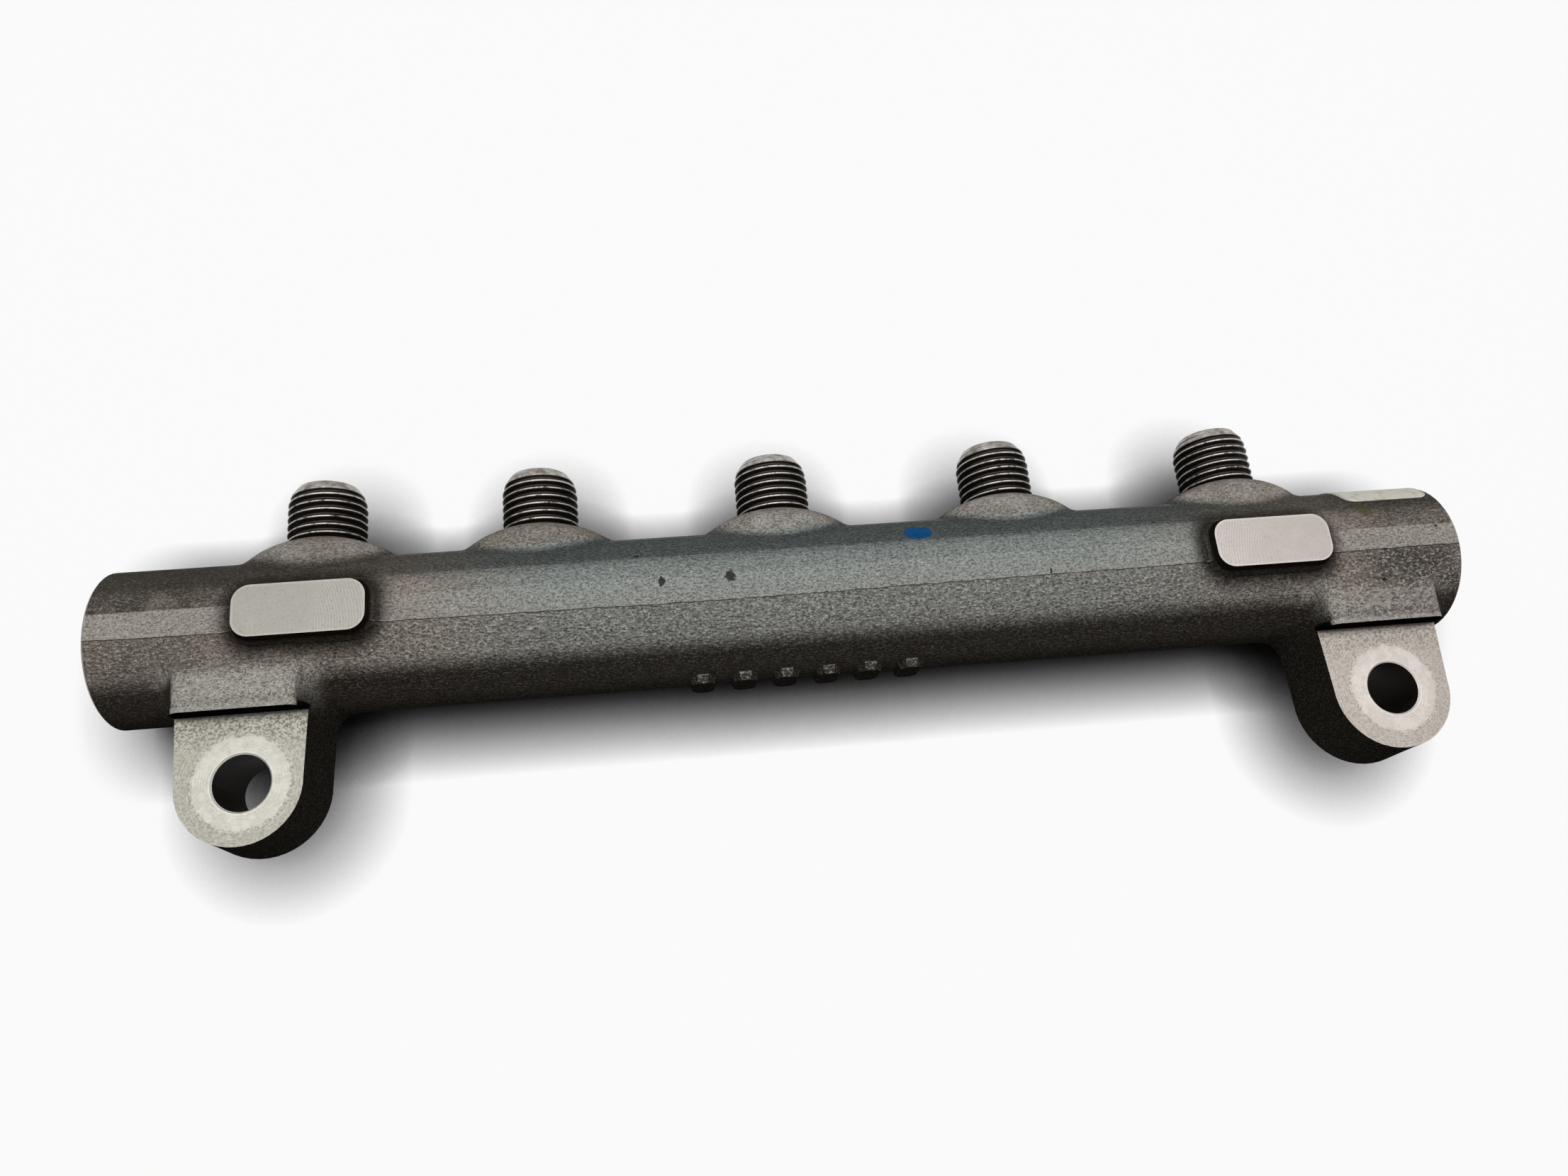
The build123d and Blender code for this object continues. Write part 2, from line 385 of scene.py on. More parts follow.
def forging_tones(skin, zone):
    """Tones of the forging: brown at the ends, greenish in the middle, painted shade on flanks turned away
    from the front and on the raised marks, pale flash land, bosses and ramps, and two painted highlights
    beside the lugs."""
    brown = skin.mix(zone.patches, (0.320, 0.265, 0.220), (0.410, 0.355, 0.300))
    green = skin.mix(zone.patches, (0.285, 0.325, 0.310), (0.365, 0.400, 0.380))
    upper = skin.step(skin.y, -2.0, 4.0)
    colour = skin.mix(skin.times(zone.middle, skin.linear(upper, 0.4, 0.6)), brown, green)

    # Painted shade: faces of the lower half turned away from the front are darkened, to a tone that depends
    # on how far they turn
    underside_shade = skin.mix(skin.step(zone.level, 0.62, 0.3), (0.027, 0.021, 0.015), (0.066, 0.055, 0.042))
    colour = skin.mix(skin.times(zone.low_side, 0.96), colour, underside_shade)
    # Painted shade: faces of the upper half turned away from the front are darkened, a little more at the
    # ends
    upper_flank_shade = skin.mix(zone.middle, (0.040, 0.038, 0.032), (0.030, 0.044, 0.045))
    colour = skin.mix(skin.times(zone.high_side, skin.linear(zone.ends, 0.1, 0.81)), colour, upper_flank_shade)

    off_second = skin.step(skin.away(skin.x, PORTS[1]), 10.0, 16.0)
    pale_boss = skin.times(skin.step(zone.clouds, 0.3, 0.7), off_second)
    boss_tone = skin.mix(pale_boss, (0.32, 0.28, 0.235), (0.54, 0.505, 0.46))
    colour = skin.mix(skin.times(zone.boss, skin.step(zone.level, 0.2, 0.45), 0.85), colour, boss_tone)
    # Painted shade: the raised marks under the tube are darkened
    marks = skin.times(skin.step(skin.y, -12.5, -13.3), skin.step(zone.around, 14.0, 14.3))
    colour = skin.mix(skin.times(marks, 0.8), colour, (0.04, 0.033, 0.026))

    land_tone = skin.mix(zone.middle, (0.60, 0.575, 0.53), (0.52, 0.56, 0.54))
    colour = skin.mix(skin.times(zone.land, skin.linear(zone.ends, 0.2, 0.32)), colour, land_tone)
    ramp_tone = skin.mix(skin.step(skin.x, 100.0, 150.0), (0.84, 0.81, 0.73), (0.62, 0.565, 0.515))
    colour = skin.mix(skin.times(zone.ramp, 0.65), colour, ramp_tone)
    # Painted highlight: two pale spots on the fillets beside the lugs, in front
    left_spot, right_spot = (skin.step(skin.oval(*spot), 1.3, 0.1) for spot in HIGHLIGHT_SPOTS)
    painted_highlight = skin.times(skin.math("MAXIMUM", left_spot, right_spot), skin.step(skin.z, 2.0, 5.0), 0.6)
    return skin.mix(painted_highlight, colour, (0.62, 0.58, 0.52))


def end_soot(skin, zone, colour):
    """Soot in clouds at both ends and over the land on the left, thin on the land, bosses and ramps."""
    over_land = skin.times(skin.step(skin.y, 2.5, 2.9), skin.step(skin.x, 54.0, 30.0), 0.85)
    right_end = skin.linear(skin.step(skin.x, 218.0, 230.0), 0.36, 0.32)
    darkening = skin.math("MAXIMUM", skin.times(zone.ends, right_end), over_land)
    darkening = skin.times(darkening, skin.spare(zone.land, 0.8), skin.spare(zone.boss, 0.75),
                      skin.spare(zone.ramp, 0.6))
    cover = skin.linear(skin.step(zone.clouds, 0.72, 0.38), 0.6, 0.4)
    return skin.mix(skin.times(cover, darkening), colour, (0.045, 0.037, 0.029))


def blasted_grain(skin, zone, colour):
    """Grain of the blasted skin: mottles, dark specks, pale specks that grow stronger on faces turned to
    the front as painted glints, and peel whose ridges carry a painted highlight and whose hollows carry
    painted shade.
    """
    speckle = skin.noise(4.2, 2.0, 0.6)
    colour = skin.mix(skin.times(skin.step(zone.mottle, 0.50, 0.72), 0.2), colour, (0.105, 0.092, 0.078))
    # Pale specks, stronger on faces turned to the front: partly specks of the skin, partly painted glints
    pale = skin.times(skin.step(speckle, 0.56, 0.74), skin.linear(zone.level, 0.5, 0.08))
    colour = skin.mix(pale, colour, (0.40, 0.38, 0.35))
    colour = skin.mix(skin.times(skin.step(speckle, 0.47, 0.30), 0.75), colour, (0.035, 0.03, 0.025))
    strong = skin.linear(skin.step(skin.x, 20.0, 50.0), 0.12, 0.38)
    # Painted highlight on the ridges of the peel, mostly below the parting line
    ridge_highlight = skin.times(skin.step(zone.peel, 0.52, 0.65), skin.linear(zone.lower, 0.5, 0.5),
                       skin.spare(zone.low_side, 0.85), skin.spare(zone.high_side, 0.7), strong)
    colour = skin.mix(ridge_highlight, colour, (0.76, 0.74, 0.71))
    # Painted shade in the hollows of the peel
    hollow_shade = skin.times(skin.step(zone.peel, 0.475, 0.37), skin.linear(zone.lower, 0.2, 0.8), strong)
    return skin.mix(hollow_shade, colour, (0.022, 0.018, 0.014))


def pad_shade_and_soot(skin, zone, colour):
    """Painted shade at each pad, partly sooty: on the pad's own flank, darker towards its top, and in a
    ragged halo of painted shadow round its foot.
    """
    off_pad = pad_distance(skin)
    # Painted shade on the pad's flank, darker towards its top
    flank = skin.times(skin.step(off_pad, 1.8, 1.4), skin.step(zone.level, 0.8, 0.55))
    on_flank = skin.times(flank, skin.linear(skin.step(skin.z, 14.2, 15.3), 0.4, 0.58))
    # Painted shadow in a ragged halo round the pad's foot
    halo = skin.times(skin.step(skin.add(off_pad, skin.wobble(zone.mottle, 1.44)), 4.6, 0.9), 0.9)
    darkening = skin.add(on_flank, skin.times(skin.spare(flank), halo))
    return skin.mix(skin.times(darkening, skin.step(skin.z, 8.0, 12.0)), colour, (0.014, 0.011, 0.008))


def parting_line(skin, zone, colour):
    """The parting line on the front and the back: a dark line of painted shadow under the flash step, with a
    pale lip of painted highlight over it.
    """
    on_face = skin.step(skin.size(skin.z), 11.0, 12.0)
    # Painted shadow under the flash step, along the parting line
    dark = skin.times(skin.step(skin.away(zone.over_line, -0.05), 0.17, 0.03),
                      skin.step(zone.around, 15.4, 14.9), on_face, skin.linear(skin.noise(0.5), 1.5, 0.05))
    colour = skin.mix(skin.math("MINIMUM", dark, 0.9), colour, (0.028, 0.021, 0.016))
    # Painted highlight on the lip over the parting line
    lip = skin.times(skin.step(skin.away(zone.over_line, 0.16), 0.14, 0.03),
                     skin.step(zone.around, 15.0, 14.4), on_face, skin.step(zone.mottle, 0.45, 0.6), 0.45)
    return skin.mix(lip, colour, (0.50, 0.48, 0.44))


def shoulder_tones(skin, zone, colour):
    """The shoulder over each bolt seat: its wall made black as painted shade, under a pale edge, bright from
    wear.
    """
    near = skin.times(skin.step(skin.away(skin.y, SHOULDER), 1.1, 0.6), skin.step(skin.z, 8.6, SEAT_FRONT))
    # Painted shade: the upright wall of the shoulder is made near black
    wall = skin.times(near, skin.step(zone.level, 0.72, 0.55), 0.97)
    colour = skin.mix(wall, colour, (0.008, 0.006, 0.005))
    edge = skin.times(near, skin.step(zone.front, 0.6, 0.75), skin.step(zone.mottle, 0.3, 0.5), 0.65)
    return skin.mix(edge, colour, (0.62, 0.59, 0.54))


def ragged_spots(skin, *spots):
    """Ragged spots on the front as one mask."""
    nearest = skin.oval(*spots[0])
    for spot in spots[1:]:
        nearest = skin.math("MINIMUM", nearest, skin.oval(*spot))
    edge = skin.wobble(skin.noise(1.9, 3.0, 0.7), 1.9)
    return skin.times(skin.step(skin.add(nearest, edge), 1.05, 0.75), skin.step(skin.z, 4.0, 6.0))


def forged_skin():
    """Blasted forging skin, with the trimmed flash land and its ragged parting line on the front and
    the back, the line painted as a shadow with a highlight over it, painted shade round the pads that is
    partly sooty, sooty ends, a few pits, a stain and a dab of blue paint."""
    skin = Finish("forged_skin")
    zone = skin_zones(skin)
    colour = forging_tones(skin, zone)
    for layer in (end_soot, blasted_grain, pad_shade_and_soot, parting_line, shoulder_tones):
        colour = layer(skin, zone, colour)
    pits = ragged_spots(skin, *PITS)
    colour = skin.mix(skin.times(pits, 0.88), colour, (0.02, 0.017, 0.014))
    colour = skin.mix(skin.times(ragged_spots(skin, STAIN), 0.6), colour, (0.085, 0.078, 0.022))
    paint_edge = skin.wobble(skin.noise(1.1, 3.0, 0.6), 0.5)
    paint = skin.times(skin.step(skin.add(skin.oval(*PAINT), paint_edge), 1.0, 0.86),
                       skin.step(skin.z, 4.0, 6.0))
    blue = skin.mix(skin.noise(1.7, 3.0, 0.7), (0.001, 0.056, 0.20), (0.004, 0.112, 0.30))
    colour = skin.mix(paint, colour, blue)

    rough = skin.linear(skin.noise(0.9, 3.0, 0.6), 0.22, 0.40)
    rough = skin.linear(paint, -0.1, rough)
    metal = skin.times(skin.step(zone.level, 0.3, 0.85), 0.34)

    normal = skin.bump(zone.patches, 1.1)
    drop = skin.math("MINIMUM", skin.step(zone.over_line, -0.14, 0.14), skin.step(zone.around, 15.3, 14.8))
    normal = skin.bump(drop, 0.13, normal)
    normal = skin.bump(skin.times(zone.peel, skin.linear(zone.lower, 0.45, 0.55)), 1.3, normal)
    normal = skin.bump(skin.noise(6.0, 2.0, 0.55), 0.1, normal)
    normal = skin.bump(skin.spare(pits), 0.12, normal)
    return skin.set(Base_Color=colour, Roughness=rough, Metallic=metal, Specular_IOR_Level=0.0,
                    Normal=normal)


def milled_seat():
    """Milled steel of the bolt seats: cutter arcs round the hole, a ring made bright by wear, stains above,
    painted shade along the shoulder's foot, and painted light that makes the right seat lighter.
    """
    seat = Finish("milled_seat")
    away = hole_distance(seat)
    smudge = seat.noise(0.5, 4.0, 0.65)
    mottle = seat.noise(2.2, 4.0, 0.7)
    ragged = seat.add(away, seat.wobble(seat.noise(0.8, 3.0, 0.6), 1.6))
    ring = seat.step(ragged, 8.9, 7.3)
    colour = seat.mix(smudge, (0.270, 0.260, 0.228), (0.42, 0.41, 0.37))

    high = seat.step(seat.y, -22.0, -16.0)
    left = seat.step(seat.x, 160.0, 90.0)
    share = seat.add(seat.linear(left, 0.25, 0.5), seat.times(left, seat.step(seat.x, 26.0, 33.0), 0.35))
    dirty = seat.times(seat.step(mottle, 0.46, 0.58), seat.linear(high, share, 0.34), seat.spare(ring, 0.85))
    colour = seat.mix(dirty, colour, (0.13, 0.115, 0.095))
    bright = seat.times(ring, seat.linear(seat.step(smudge, 0.6, 0.42), 0.35, 0.4))
    colour = seat.mix(bright, colour, (0.56, 0.55, 0.515))
    ring_edge = seat.times(seat.step(seat.away(ragged, 8.2), 0.5, 0.05), seat.step(mottle, 0.42, 0.6), 0.7)
    colour = seat.mix(ring_edge, colour, (0.17, 0.15, 0.13))
    rim = seat.step(away, HOLE_RADIUS + 0.55, HOLE_RADIUS + 0.15)
    colour = seat.mix(seat.times(rim, 0.6), colour, (0.85, 0.84, 0.82))

    scratch = seat.noise(1.2, 3.0, 0.6, stretch=(0.25, 5.0, 1.0))
    arcs = seat.math("SINE", seat.times(seat.add(away, seat.times(scratch, 0.3)), 13.0))
    arcs = seat.times(arcs, seat.step(seat.noise(0.35), 0.4, 0.62))
    colour = seat.mix(seat.times(seat.step(arcs, 0.2, 1.0), 0.16), colour, (0.75, 0.74, 0.72))
    # Hue on each half, and painted light that makes the right seat lighter
    colour = seat.tint_and_light(colour, (1.0, 0.985, 0.94), (1.22, 1.13, 1.12))
    # Painted shade: a dark strip along the seat at the foot of the shoulder wall
    wall = seat.step(seat.away(seat.y, SHOULDER), 0.7, 0.15)
    colour = seat.mix(seat.times(wall, 0.75), colour, (0.05, 0.042, 0.034))

    normal = seat.bump(seat.linear(arcs, 0.5, 0.5), 0.008)
    normal = seat.bump(seat.noise(5.0, 2.0, 0.6), 0.012, normal)
    rough = seat.linear(mottle, 0.25, 0.3)
    return seat.set(Base_Color=colour, Roughness=rough, Metallic=0.35, Normal=normal)


def milled_pad():
    """Milled steel of the pads: arcs of a wide cutter, upright lines in the lower half, small stains, and
    painted light that makes the right pad lighter.
    """
    pad = Finish("milled_pad")
    outward = pad.away(pad.x, PAD_MIDDLE)
    from_cutter = pad.reach(pad.minus(outward, PAD_REACH + 13.0), pad.minus(pad.y, -3.0))
    smudge = pad.noise(0.35, 4.0, 0.6)
    mottle = pad.noise(2.4, 4.0, 0.7)
    colour = pad.mix(smudge, (0.295, 0.292, 0.262), (0.365, 0.36, 0.328))
    arcs = pad.math("SINE", pad.times(pad.add(from_cutter, pad.times(pad.noise(0.7), 0.5)), 13.0))
    inner_side = pad.step(pad.add(outward, pad.times(pad.noise(0.3), 8.0)), PAD_REACH + 5.0, PAD_REACH - 1.0)
    arcs = pad.times(arcs, inner_side)
    colour = pad.mix(pad.times(pad.step(arcs, 0.3, 1.0), 0.17), colour, (0.75, 0.74, 0.72))
    lines = pad.times(pad.math("SINE", pad.times(pad.x, 8.3)), pad.step(pad.y, -0.5, -2.6))
    colour = pad.mix(pad.times(pad.step(lines, 0.2, 1.0), 0.16), colour, (0.34, 0.32, 0.29))
    colour = pad.mix(pad.times(pad.step(mottle, 0.55, 0.68), 0.6), colour, (0.22, 0.19, 0.15))
    rim = pad.step(pad_distance(pad), -0.5, -0.05)
    colour = pad.mix(pad.times(rim, 0.3), colour, (0.62, 0.61, 0.58))
    # Hue on each half, and painted light that makes the right pad lighter
    colour = pad.tint_and_light(colour, (0.93, 0.91, 0.89), (1.32, 1.22, 1.24))
    normal = pad.bump(pad.linear(pad.add(arcs, lines), 0.25, 0.5), 0.012)
    normal = pad.bump(pad.noise(4.0, 2.0, 0.6), 0.012, normal)
    rough = pad.linear(mottle, 0.2, 0.32)
    return pad.set(Base_Color=colour, Roughness=rough, Metallic=0.35, Normal=normal)


def turned_steel():
    """Turned and drilled steel of the tube's ends and bores, with fine rings about the main axis, and
    painted shade that makes the bolt holes dark."""
    turned = Finish("turned_steel")
    around = turned.reach(turned.y, turned.z)
    rings = turned.math("SINE", turned.times(turned.add(around, turned.x), 21.0))
    stains = turned.noise(0.45, 4.0, 0.65)
    colour = turned.mix(stains, (0.15, 0.135, 0.115), (0.33, 0.31, 0.28))
    grime = turned.step(turned.noise(2.5, 3.0, 0.7), 0.5, 0.7)
    colour = turned.mix(turned.times(grime, 0.5), colour, (0.07, 0.06, 0.05))
    # Painted shade: the bolt holes are made near black
    hole_shade = turned.step(hole_distance(turned), 6.0, 5.0)
    colour = turned.mix(turned.times(hole_shade, 0.9), colour, (0.018, 0.015, 0.012))
    normal = turned.bump(turned.linear(rings, 0.5, 0.5), 0.012)
    rough = turned.linear(stains, 0.25, 0.28)
    return turned.set(Base_Color=colour, Roughness=rough, Metallic=0.7, Normal=normal)


def dark_thread():
    """Oiled dark thread: black roots, crests bright in patches from wear and painted highlight, and a
    stained tip with fine rings.
    """
    thread = Finish("dark_thread")
    height = thread.node("ShaderNodeAttribute", attribute_name="height").outputs["Fac"]
    bare = thread.node("ShaderNodeAttribute", attribute_name="bare").outputs["Fac"]
    wear = thread.noise(0.6, 4.0, 0.65)
    grime = thread.noise(2.4, 4.0, 0.7)
    colour = thread.mix(grime, (0.014, 0.011, 0.009), (0.06, 0.05, 0.044))
    # Crests bright in patches: wear, with painted highlight
    painted_highlight = thread.times(thread.step(height, 0.8, 0.98), thread.step(wear, 0.3, 0.55), 0.9)
    colour = thread.mix(painted_highlight, colour, (0.56, 0.53, 0.49))
    tip = thread.mix(thread.step(wear, 0.3, 0.7), (0.17, 0.145, 0.12), (0.62, 0.58, 0.54))
    tip = thread.mix(thread.times(thread.step(grime, 0.52, 0.66), 0.8), tip, (0.05, 0.04, 0.032))
    rings = thread.math("SINE", thread.times(thread.add(thread.y, thread.times(wear, 0.35)), 14.0))
    tip = thread.mix(thread.times(thread.step(rings, 0.1, 0.9), 0.4), tip, (0.075, 0.062, 0.05))
    colour = thread.mix(bare, colour, tip)
    normal = thread.bump(thread.noise(3.0, 3.0, 0.6), 0.02)
    normal = thread.bump(thread.times(rings, bare), 0.02, normal)
    rough = thread.linear(grime, 0.3, 0.16)
    return thread.set(Base_Color=colour, Roughness=rough, Metallic=0.85, Normal=normal)


def label_paper():
    """Bare off-white label, soiled in patches and at its left and right ends."""
    paper = Finish("label_paper")
    fibres = paper.noise(2.8, 4.0, 0.7)
    soil = paper.noise(0.4, 4.0, 0.65)
    colour = paper.mix(fibres, (0.76, 0.74, 0.63), (0.86, 0.84, 0.75))
    colour = paper.mix(paper.times(paper.step(soil, 0.48, 0.72), 0.6), colour, (0.33, 0.29, 0.20))
    left = paper.step(paper.x, LABEL_LEFT + 1.4, LABEL_LEFT)
    right = paper.step(paper.x, LABEL_LEFT + LABEL_LENGTH - 1.2, LABEL_LEFT + LABEL_LENGTH)
    ends = paper.times(paper.math("MAXIMUM", left, right), paper.step(fibres, 0.3, 0.6), 0.55)
    colour = paper.mix(ends, colour, (0.25, 0.21, 0.14))
    normal = paper.bump(fibres, 0.02)
    rough = paper.linear(soil, 0.2, 0.5)
    return paper.set(Base_Color=colour, Roughness=rough, Metallic=0.0, Normal=normal)


def read_corners(mesh):
    """Points in millimetres with doubles merged, and each triangle's point numbers and corner normals."""
    count = len(mesh.loops)
    normals = np.empty(count * 3, np.float32)
    mesh.corner_normals.foreach_get("vector", normals)
    index = np.empty(count, np.int32)
    mesh.loops.foreach_get("vertex_index", index)
    points = np.empty(len(mesh.vertices) * 3, np.float32)
    mesh.vertices.foreach_get("co", points)
    points = points.reshape(-1, 3).astype(float) / MM
    points, merged = np.unique(np.round(points, 4), axis=0, return_inverse=True)
    return points, merged.reshape(-1)[index].reshape(-1, 3), normals.reshape(-1, 3, 3)


def port_collars(points):
    """A collar at each port: quads from the rim round the port's foot to a ring of 0.8 times its
    radius, under the thread."""
    collars, faces, first = [], [], len(points)
    for place in PORTS:
        from_axis = np.hypot(points[:, 0] - place, points[:, 2])
        rim = np.flatnonzero((np.abs(from_axis - PORT_ROOT_RADIUS) < 0.002)
                             & (points[:, 1] > UNDER_RIM) & (points[:, 1] < OVER_RIM))
        rim = rim[np.argsort(np.arctan2(points[rim, 0] - place, points[rim, 2]))]
        inner = points[rim].copy()
        inner[:, 0] = place + (inner[:, 0] - place) * 0.8
        inner[:, 2] *= 0.8
        collars.append(inner)
        new = first + np.arange(len(rim))
        faces.append(np.stack([rim, np.roll(rim, -1), np.roll(new, -1), new], 1))
        first += len(rim)
    return np.concatenate(collars), np.concatenate(faces)


def make_body(materials):
    """The forging with its milled and drilled faces: a merged copy of the solid's mesh that keeps the
    solid's own normals. The plain port and mouth cylinders are left out for the threads, and a
    collar runs in from each port's foot, under its thread."""
    on_skin, on_seat, on_pad, on_turned = range(len(materials))
    points, faces, normals = read_corners(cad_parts["rail_body"].data)

    sound = (faces[:, 0] != faces[:, 1]) & (faces[:, 1] != faces[:, 2]) & (faces[:, 2] != faces[:, 0])
    corner = points[faces]
    for place in PORTS:
        from_axis = np.hypot(corner[..., 0] - place, corner[..., 2])
        sound &= ~((from_axis < PORT_RADIUS + 0.002).all(1) & (corner[..., 1].min(1) > UNDER_RIM))
    around = np.hypot(corner[..., 1], corner[..., 2])
    for end, inward, radius in MOUTHS:
        deep = (corner[..., 0] - end) * inward
        in_thread = (deep > MOUTH_CHAMFER - 0.01) & (deep < MOUTH_DEPTH + 0.01)
        sound &= ~((np.abs(around - radius) < 0.002) & in_thread).all(1)
    faces, normals, corner, around = faces[sound], normals[sound], corner[sound], around[sound]

    centre = corner.mean(1)
    cross = np.cross(corner[:, 1] - corner[:, 0], corner[:, 2] - corner[:, 0])
    facing = cross / np.maximum(np.linalg.norm(cross, axis=1), 1e-12)[:, None]
    along = np.abs(np.abs(centre[:, 0] - LUG_MIDDLE) - LUG_REACH)
    hole = np.hypot(along, centre[:, 1] - HOLE_LEVEL)
    kind = np.full(len(faces), on_skin, np.int32)
    flat = (corner[..., 2] > SEAT_FRONT - HOLE_CHAMFER - 0.05).all(1) & (centre[:, 2] < SEAT_FRONT + 0.01)
    kind[flat & (centre[:, 1] < SHOULDER + 0.01) & (facing[:, 2] > 0.5)] = on_seat
    kind[hole < HOLE_RADIUS + 0.02] = on_turned
    kind[centre[:, 2] > PAD_FRONT - 0.01] = on_pad
    at_left = (corner[..., 0] < END_CHAMFER + 0.01).all(1)
    at_right = (corner[..., 0] > RAIL_LENGTH - END_CHAMFER - 0.01).all(1)
    kind[at_left | at_right | (around < BORES_WITHIN).all(1)] = on_turned

    collars, quads = port_collars(points)
    up = np.tile((0.0, 1.0, 0.0), (quads.size, 1))
    kind = np.concatenate([kind, np.full(len(quads), on_skin, np.int32)])
    body = new_piece("rail_body_forging", np.concatenate([points, collars]), faces.tolist() + quads.tolist(),
                     materials)
    body.data.polygons.foreach_set("material_index", kind)
    body.data.normals_split_custom_set(np.concatenate([normals.reshape(-1, 3), up]).tolist())
    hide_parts("rail_body")


def make_port_threads(material):
    """Five threaded ports as one piece. A row follows the helix, so its height is the pitch times its
    turn plus the angle's share of a turn. The radius is the thread's wave on the root, held inside
    the tip's cones. The last rows run over the tip and down the conical seat."""
    per_turn = 12
    angle = np.arange(AROUND) * 2 * math.pi / AROUND
    turn = np.arange(-8 * per_turn, 4 * per_turn) / per_turn
    height = CREST_LEVEL + helix_climb(turn, angle)
    wave = np.broadcast_to(thread_wave(turn + 0.5)[:, None], height.shape)
    height = np.minimum(height, PORT_LEVEL - 0.06)
    radius = PORT_CONE[1][0] - PORT_THREAD_DEPTH * (1.0 - wave)
    cone = np.interp(height, *PORT_CONE)
    bare = smooth_step(radius - cone, -0.05, 0.1) * (height > PORT_CONE[0][0] + 0.9)
    radius = np.minimum(radius, cone)

    rows = len(turn)
    faces = np.concatenate([helix_faces(rows, AROUND, per_turn),
                            ring_faces(len(PORT_TIP) + 1, AROUND, (rows - 1) * AROUND)])
    tip_radius, tip_height = (np.repeat(column[:, None], AROUND, 1) for column in np.array(PORT_TIP).T)
    radius = np.concatenate([radius, tip_radius])
    height = np.concatenate([height, tip_height])
    wave = np.concatenate([wave, np.zeros_like(tip_radius)])
    bare = np.concatenate([bare, np.ones_like(tip_radius)])
    grids = [np.stack([place + radius * np.sin(angle), height, radius * np.cos(angle)], -1).reshape(-1, 3)
             for place in PORTS]
    all_faces = np.concatenate([faces + number * radius.size for number in range(len(PORTS))])
    piece = new_piece("port_threads", np.concatenate(grids), all_faces.tolist(), [material])
    add_values(piece, "height", np.tile(wave.reshape(-1), len(PORTS)))
    add_values(piece, "bare", np.tile(bare.reshape(-1), len(PORTS)))
    merge_close(piece)


def make_mouth_threads(material):
    """Inner threads of both mouths: the wave cuts outwards from the bore, and fades at both ends.
    The grid climbs the helix as on the ports."""
    per_turn = 10
    angle = np.arange(AROUND) * 2 * math.pi / AROUND
    turn = np.arange(-2 * per_turn, 12 * per_turn) / per_turn
    grids, faces, waves, first = [], [], [], 0
    for end, inward, radius in MOUTHS:
        deep = helix_climb(turn, angle)
        wave = np.broadcast_to(thread_wave(turn)[:, None], deep.shape)
        deep = np.clip(deep, MOUTH_CHAMFER, MOUTH_DEPTH)
        fade = smooth_step(deep, MOUTH_CHAMFER, 1.2) * smooth_step(-deep, -MOUTH_DEPTH, -MOUTH_DEPTH + 2.6)
        reach = radius + MOUTH_THREAD_DEPTH * (1.0 - wave) * fade
        shape = np.stack([end + inward * deep, reach * np.cos(angle) * inward, reach * np.sin(angle)], -1)
        grids.append(shape.reshape(-1, 3))
        faces.append(helix_faces(len(turn), AROUND, per_turn, first)[:, ::-1])
        waves.append((wave * fade).reshape(-1))
        first += deep.size
    piece = new_piece("mouth_threads", np.concatenate(grids), np.concatenate(faces).tolist(), [material])
    add_values(piece, "height", np.concatenate(waves))
    add_values(piece, "bare", np.zeros(first))
    merge_close(piece)


def make_label(material):
    """Sheet bent on the tube: a row at each angle, as long as the rounded outline is wide there."""
    half_height = math.radians(LABEL_HALF_ANGLE) * TUBE_RADIUS
    half_length = LABEL_LENGTH / 2
    across = half_height * np.sin(np.linspace(-math.pi / 2, math.pi / 2, 61))
    over = np.maximum(np.abs(across) - (half_height - LABEL_CORNER), 0.0)
    row_length = half_length - LABEL_CORNER + np.sqrt(np.maximum(LABEL_CORNER**2 - over**2, 0.0))
    along = np.linspace(-1.0, 1.0, 25)
    x = LABEL_LEFT + half_length + row_length[:, None] * along[None, :]
    angle = np.broadcast_to((across / TUBE_RADIUS)[:, None], x.shape)
    points = np.stack([x, TUBE_RADIUS * np.cos(angle), TUBE_RADIUS * np.sin(angle)], -1)
    grid = np.arange(x.size).reshape(x.shape)
    faces = np.stack([grid[:-1, :-1], grid[1:, :-1], grid[1:, 1:], grid[:-1, 1:]], -1).reshape(-1, 4)
    label = new_piece("bare_label", points.reshape(-1, 3), faces.tolist(), [material])
    wall = label.modifiers.new("thickness", "SOLIDIFY")
    wall.thickness = LABEL_THICKNESS * MM
    wall.offset = 1.0
    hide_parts("label")


def grey(tone):
    """A grey with its alpha."""
    return (tone, tone, tone, 1.0)


def seen_directly(tree):
    """1 for camera, glossy and transmission rays, 0 for light that spreads from matt surfaces."""
    path = add_node(tree, "ShaderNodeLightPath")
    total = path.outputs["Is Camera Ray"]
    for name in ("Is Glossy Ray", "Is Transmission Ray"):
        inputs = {0: total, 1: path.outputs[name]}
        total = add_node(tree, "ShaderNodeMath", inputs, operation="MAXIMUM").outputs[0]
    return total


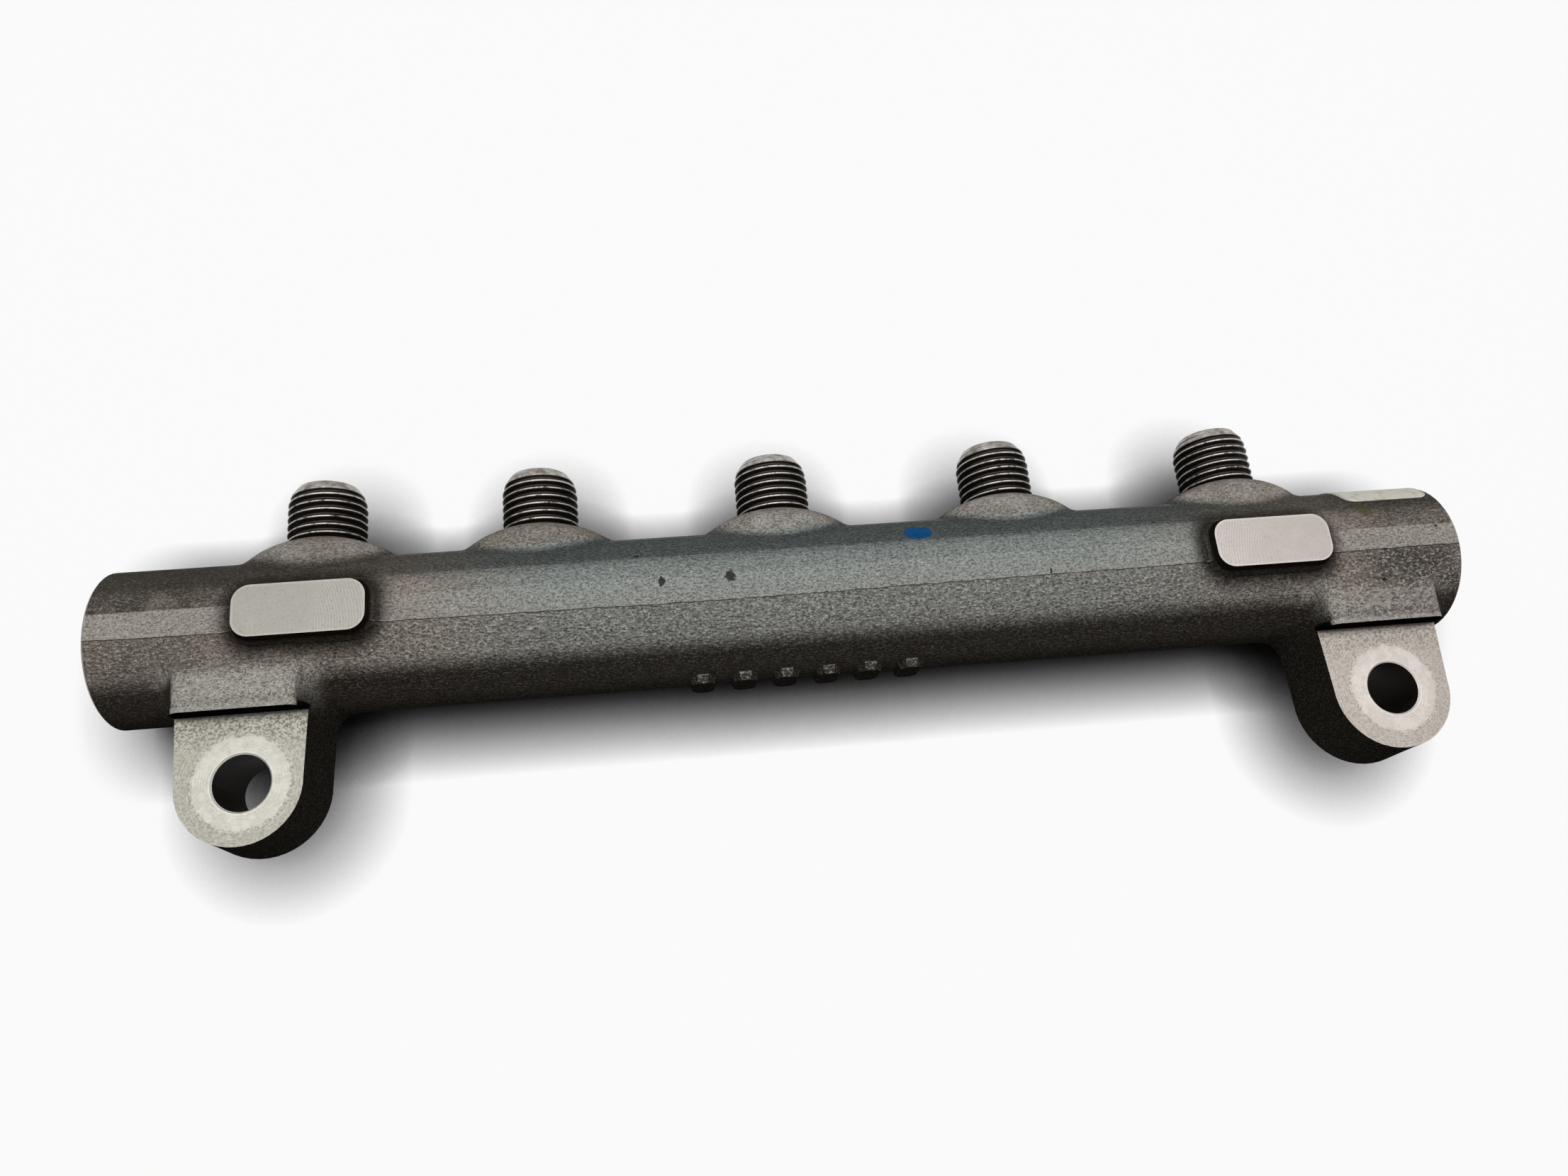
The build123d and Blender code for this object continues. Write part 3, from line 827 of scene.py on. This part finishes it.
def make_floor():
    """Plain pale floor under the rail's back. It looks near white, and its glow is dimmed near the rail by
    ambient occlusion as a painted soft shadow, with a faint cast shadow on its matt part.
    """
    material = bpy.data.materials.new("pale_floor")
    material.use_nodes = True
    tree = material.node_tree
    matt = tree.nodes["Principled BSDF"]
    matt.inputs["Base Color"].default_value = grey(0.3)
    matt.inputs["Roughness"].default_value = 1.0
    # Painted shadow: the glow seen directly fades where the rail is near, by ambient occlusion
    near = add_node(tree, "ShaderNodeAmbientOcclusion", {"Distance": SHADOW_REACH * MM})
    open_part = add_node(tree, "ShaderNodeMath", {0: near.outputs["AO"], 1: 1.5, 2: -0.5},
                         operation="MULTIPLY_ADD", use_clamp=True)
    deeper = add_node(tree, "ShaderNodeMath", {0: open_part.outputs[0], 1: 2.2}, operation="POWER")
    glow = add_node(tree, "ShaderNodeEmission", {"Color": grey(SURROUND_TONE),
                                                 "Strength": deeper.outputs[0]})
    dim = add_node(tree, "ShaderNodeBsdfDiffuse", {"Color": grey(0.06)})
    both = add_node(tree, "ShaderNodeAddShader", {0: dim.outputs[0], 1: glow.outputs[0]})
    mix = add_node(tree, "ShaderNodeMixShader", {0: seen_directly(tree), 1: matt.outputs[0],
                                                 2: both.outputs[0]})
    tree.links.new(mix.outputs[0], tree.nodes["Material Output"].inputs["Surface"])
    corners = np.array([(-1, -1), (1, -1), (1, 1), (-1, 1)]) * FLOOR_HALF
    points = np.column_stack([corners, np.full(4, FLOOR_LEVEL - FLOOR_GAP)]) * MM
    mesh = bpy.data.meshes.new("floor")
    mesh.from_pydata(points.tolist(), [], [(0, 1, 2, 3)])
    mesh.materials.append(material)
    floor = bpy.data.objects.new("floor", mesh)
    bpy.context.scene.collection.objects.link(floor)


def make_world():
    """Weak even light, with a pale surround for the eye and for reflections."""
    world = bpy.data.worlds.new("studio")
    world.use_nodes = True
    tree = world.node_tree
    plain = tree.nodes["Background"]
    plain.inputs["Color"].default_value = grey(1.0)
    plain.inputs["Strength"].default_value = 0.1
    seen = add_node(tree, "ShaderNodeBackground", {"Color": grey(SURROUND_TONE)})
    mix = add_node(tree, "ShaderNodeMixShader", {0: seen_directly(tree), 1: plain.outputs[0],
                                                 2: seen.outputs[0]})
    tree.links.new(mix.outputs[0], tree.nodes["World Output"].inputs["Surface"])
    bpy.context.scene.world = world


def make_lamp(name, place, target, size, power):
    """Soft lamp at a place, turned to a target, both in metres."""
    light = bpy.data.lights.new(name, "AREA")
    light.shape = "RECTANGLE"
    light.size, light.size_y = size
    light.energy = power
    lamp = bpy.data.objects.new(name, light)
    lamp.location = place
    lamp.rotation_euler = (Vector(target) - Vector(place)).to_track_quat("-Z", "Y").to_euler()
    bpy.context.scene.collection.objects.link(lamp)


def make_camera():
    """The camera that saw the photograph."""
    data = bpy.data.cameras.new("camera")
    data.sensor_width = SENSOR_WIDTH
    data.lens = FOCAL_PIXELS * SENSOR_WIDTH / PHOTO_WIDTH
    data.clip_start = 0.01
    camera = bpy.data.objects.new("camera", data)
    bpy.context.scene.collection.objects.link(camera)
    turn = Matrix((Vector(CAMERA_RIGHT), -Vector(CAMERA_DOWN), -Vector(CAMERA_FORWARD))).transposed()
    camera.matrix_world = Matrix.Translation(CAMERA_PLACE) @ turn.to_4x4()
    bpy.context.scene.camera = camera


thread_material = dark_thread()
make_body([forged_skin(), milled_seat(), milled_pad(), turned_steel()])
make_port_threads(thread_material)
make_mouth_threads(thread_material)
make_label(label_paper())
make_floor()
make_world()
make_lamp("overhead", (0.125, 0.06, 0.62), (0.125, 0.0, 0.0), (1.0, 0.25), 3.1)
make_lamp("far_side", (0.16, 0.6, 0.4), (0.13, 0.0, 0.0), (0.5, 0.3), 0.25)
make_camera()

bpy.context.scene.view_settings.view_transform = "Standard"
